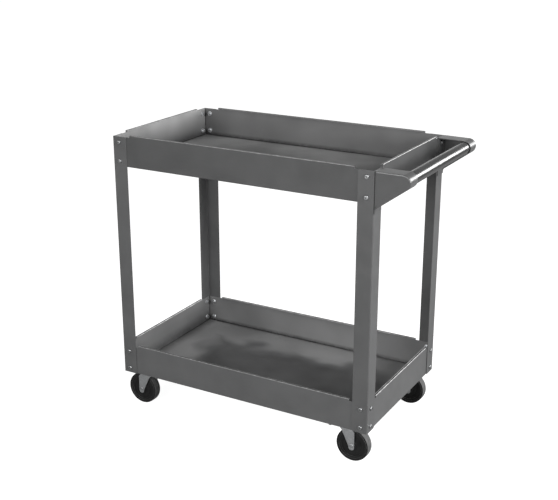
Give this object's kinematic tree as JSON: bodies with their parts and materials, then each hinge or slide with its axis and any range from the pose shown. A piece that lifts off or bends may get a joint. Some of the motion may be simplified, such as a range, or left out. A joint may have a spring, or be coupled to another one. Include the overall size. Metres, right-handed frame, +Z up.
{
  "type": "tool cart",
  "caption": "Rolling steel service cart: an upper and a lower lipped tray on angle legs, a tubular push handle on brackets at one end, and swivel casters.",
  "frame": {"origin": "centre of the bounding box in plan, on the floor under the wheels", "axes": "+X along the cart towards the end with the push handle, +Y level across it, +Z up; right-handed"},
  "size_m": [0.912, 0.4802, 0.8435],
  "materials": {
    "grey_paint": "smooth grey powder coat, semi-gloss",
    "zinc_steel": "bright zinc plate",
    "hub_plastic": "moulded black, satin",
    "tyre_rubber": "smooth black tread, matt"
  },
  "bodies": {
    "cart": {"top_tray": "grey_paint", "bottom_tray": "grey_paint", "leg_front_left": "grey_paint", "leg_rear_left": "grey_paint", "leg_rear_right": "grey_paint", "leg_front_right": "grey_paint", "handle_bracket_left": "grey_paint", "handle_bracket_right": "grey_paint", "handle_tube": "grey_paint", "top_tray_screws": "zinc_steel", "top_tray_nuts": "zinc_steel", "bottom_tray_screws": "zinc_steel", "bottom_tray_nuts": "zinc_steel", "caster_plate_studs": "zinc_steel", "caster_plate_nuts": "zinc_steel", "caster_plate_front_left": "zinc_steel", "kingpin_front_left": "zinc_steel", "caster_plate_rear_left": "zinc_steel", "kingpin_rear_left": "zinc_steel", "caster_plate_rear_right": "zinc_steel", "kingpin_rear_right": "zinc_steel", "caster_plate_front_right": "zinc_steel", "kingpin_front_right": "zinc_steel"},
    "swivel_front_left": {"fork_front_left": "zinc_steel", "swivel_balls_front_left": "zinc_steel", "axle_rivet_front_left": "zinc_steel", "wheel_bush_front_left": "zinc_steel"},
    "wheel_front_left": {"wheel_hub_front_left": "hub_plastic", "wheel_tyre_front_left": "tyre_rubber"},
    "swivel_rear_left": {"fork_rear_left": "zinc_steel", "swivel_balls_rear_left": "zinc_steel", "axle_rivet_rear_left": "zinc_steel", "wheel_bush_rear_left": "zinc_steel"},
    "wheel_rear_left": {"wheel_hub_rear_left": "hub_plastic", "wheel_tyre_rear_left": "tyre_rubber"},
    "swivel_rear_right": {"fork_rear_right": "zinc_steel", "swivel_balls_rear_right": "zinc_steel", "axle_rivet_rear_right": "zinc_steel", "wheel_bush_rear_right": "zinc_steel"},
    "wheel_rear_right": {"wheel_hub_rear_right": "hub_plastic", "wheel_tyre_rear_right": "tyre_rubber"},
    "swivel_front_right": {"fork_front_right": "zinc_steel", "swivel_balls_front_right": "zinc_steel", "axle_rivet_front_right": "zinc_steel", "wheel_bush_front_right": "zinc_steel"},
    "wheel_front_right": {"wheel_hub_front_right": "hub_plastic", "wheel_tyre_front_right": "tyre_rubber"}
  },
  "joints": [
    {"name": "caster_swivel_front_left", "type": "hinge", "parent": "cart", "child": "swivel_front_left", "pos_m": [-0.382, -0.1985, 0.102], "axis": [0, 0, 1], "continuous": true},
    {"name": "wheel_spin_front_left", "type": "hinge", "parent": "swivel_front_left", "child": "wheel_front_left", "pos_m": [-0.407, -0.1985, 0.049], "axis": [0, 1, 0], "continuous": true},
    {"name": "caster_swivel_rear_left", "type": "hinge", "parent": "cart", "child": "swivel_rear_left", "pos_m": [0.28, -0.1985, 0.102], "axis": [0, 0, 1], "continuous": true},
    {"name": "wheel_spin_rear_left", "type": "hinge", "parent": "swivel_rear_left", "child": "wheel_rear_left", "pos_m": [0.305, -0.1985, 0.049], "axis": [0, 1, 0], "continuous": true},
    {"name": "caster_swivel_rear_right", "type": "hinge", "parent": "cart", "child": "swivel_rear_right", "pos_m": [0.28, 0.1985, 0.102], "axis": [0, 0, 1], "continuous": true},
    {"name": "wheel_spin_rear_right", "type": "hinge", "parent": "swivel_rear_right", "child": "wheel_rear_right", "pos_m": [0.305, 0.1985, 0.049], "axis": [0, 1, 0], "continuous": true},
    {"name": "caster_swivel_front_right", "type": "hinge", "parent": "cart", "child": "swivel_front_right", "pos_m": [-0.382, 0.1985, 0.102], "axis": [0, 0, 1], "continuous": true},
    {"name": "wheel_spin_front_right", "type": "hinge", "parent": "swivel_front_right", "child": "wheel_front_right", "pos_m": [-0.407, 0.1985, 0.049], "axis": [0, 1, 0], "continuous": true}
  ]
}
